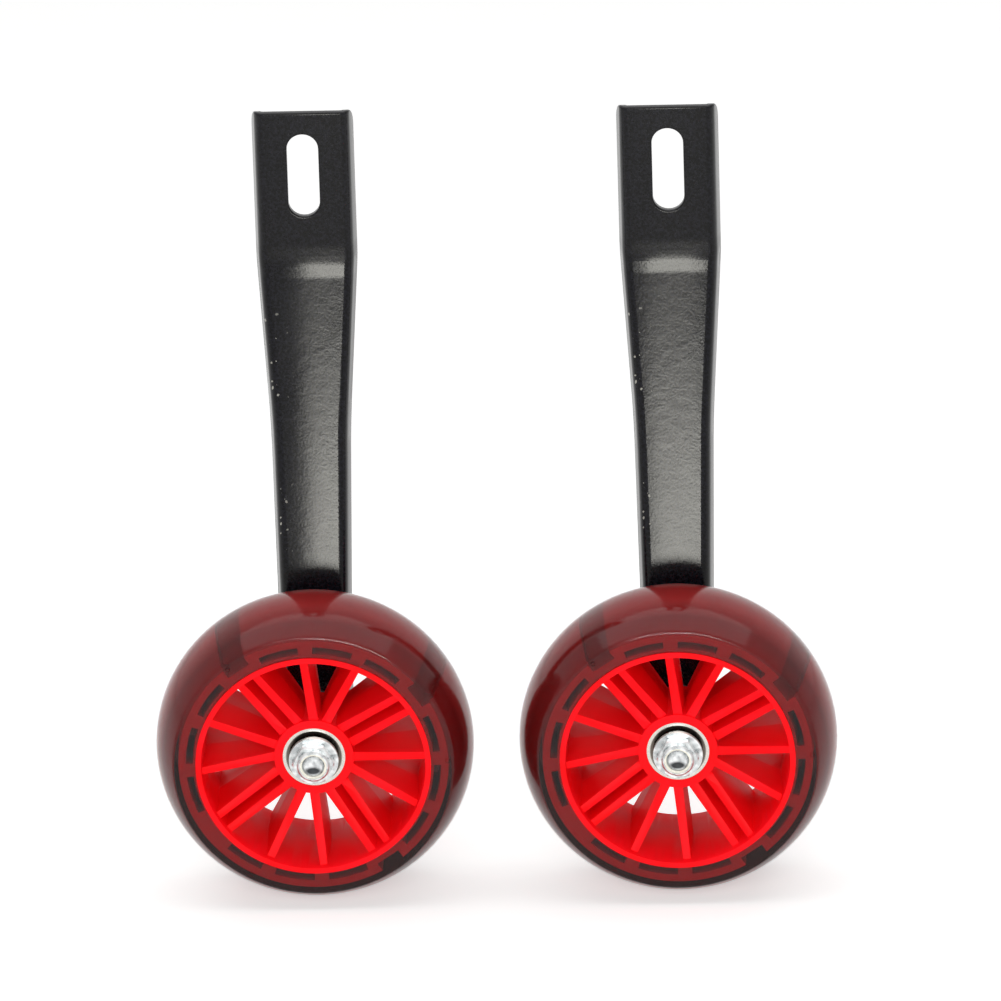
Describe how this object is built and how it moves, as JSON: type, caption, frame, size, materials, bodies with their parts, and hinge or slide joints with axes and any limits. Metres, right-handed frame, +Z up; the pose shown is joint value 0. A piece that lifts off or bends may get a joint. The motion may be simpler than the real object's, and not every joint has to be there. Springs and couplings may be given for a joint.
{
  "type": "bicycle training wheels",
  "caption": "Pair of bicycle training wheels: spoked red wheels with smoked tyres on ball bearings, each bolted to a bent, slotted black steel stay.",
  "frame": {"origin": "on the ground under the middle of the pair, at the middle of its depth", "axes": "+Z up, wheel axles along Y with the wheels' outer sides facing -Y, the pair side by side along X"},
  "size_m": [0.24, 0.0888, 0.271],
  "materials": {
    "black_powder_coat": "satin",
    "red_plastic": "semi-gloss",
    "smoked_tyre": "glossy",
    "zinc_plate": "bright",
    "bearing_steel": "polished",
    "nylon": "satin"
  },
  "bodies": {
    "stays": {"left_stay": "black_powder_coat", "left_axle_bolt": "zinc_plate", "left_stay_washer": "zinc_plate", "left_stay_nut": "zinc_plate", "left_inner_washer": "zinc_plate", "left_inner_bearing_inner_race": "bearing_steel", "left_bearing_spacer": "zinc_plate", "left_outer_bearing_inner_race": "bearing_steel", "left_outer_washer": "zinc_plate", "left_lock_nut": "zinc_plate", "left_lock_nut_insert": "nylon", "right_stay": "black_powder_coat", "right_axle_bolt": "zinc_plate", "right_stay_washer": "zinc_plate", "right_stay_nut": "zinc_plate", "right_inner_washer": "zinc_plate", "right_inner_bearing_inner_race": "bearing_steel", "right_bearing_spacer": "zinc_plate", "right_outer_bearing_inner_race": "bearing_steel", "right_outer_washer": "zinc_plate", "right_lock_nut": "zinc_plate", "right_lock_nut_insert": "nylon"},
    "left_wheel": {"left_wheel_core": "red_plastic", "left_tyre": "smoked_tyre", "left_inner_bearing_outer_race": "bearing_steel", "left_inner_bearing_shields": "bearing_steel", "left_outer_bearing_outer_race": "bearing_steel", "left_outer_bearing_shields": "bearing_steel"},
    "left_inner_ball_set": {"left_inner_bearing_balls": "bearing_steel", "left_inner_bearing_cage": "bearing_steel"},
    "left_outer_ball_set": {"left_outer_bearing_balls": "bearing_steel", "left_outer_bearing_cage": "bearing_steel"},
    "right_wheel": {"right_wheel_core": "red_plastic", "right_tyre": "smoked_tyre", "right_inner_bearing_outer_race": "bearing_steel", "right_inner_bearing_shields": "bearing_steel", "right_outer_bearing_outer_race": "bearing_steel", "right_outer_bearing_shields": "bearing_steel"},
    "right_inner_ball_set": {"right_inner_bearing_balls": "bearing_steel", "right_inner_bearing_cage": "bearing_steel"},
    "right_outer_ball_set": {"right_outer_bearing_balls": "bearing_steel", "right_outer_bearing_cage": "bearing_steel"}
  },
  "joints": [
    {"name": "left_wheel_spin", "type": "hinge", "parent": "stays", "child": "left_wheel", "pos_m": [-0.064, -0.02312, 0.056], "axis": [0, 1, 0], "continuous": true},
    {"name": "left_inner_ball_set_spin", "type": "hinge", "parent": "stays", "child": "left_inner_ball_set", "pos_m": [-0.064, -0.02312, 0.056], "axis": [0, 1, 0], "continuous": true},
    {"name": "left_outer_ball_set_spin", "type": "hinge", "parent": "stays", "child": "left_outer_ball_set", "pos_m": [-0.064, -0.02312, 0.056], "axis": [0, 1, 0], "continuous": true},
    {"name": "right_wheel_spin", "type": "hinge", "parent": "stays", "child": "right_wheel", "pos_m": [0.064, -0.02312, 0.056], "axis": [0, 1, 0], "continuous": true},
    {"name": "right_inner_ball_set_spin", "type": "hinge", "parent": "stays", "child": "right_inner_ball_set", "pos_m": [0.064, -0.02312, 0.056], "axis": [0, 1, 0], "continuous": true},
    {"name": "right_outer_ball_set_spin", "type": "hinge", "parent": "stays", "child": "right_outer_ball_set", "pos_m": [0.064, -0.02312, 0.056], "axis": [0, 1, 0], "continuous": true}
  ],
  "couplings": [
    {"joint": "left_inner_ball_set_spin", "follows": "left_wheel_spin", "ratio": 0.63},
    {"joint": "left_outer_ball_set_spin", "follows": "left_wheel_spin", "ratio": 0.63},
    {"joint": "right_inner_ball_set_spin", "follows": "right_wheel_spin", "ratio": 0.63},
    {"joint": "right_outer_ball_set_spin", "follows": "right_wheel_spin", "ratio": 0.63}
  ]
}
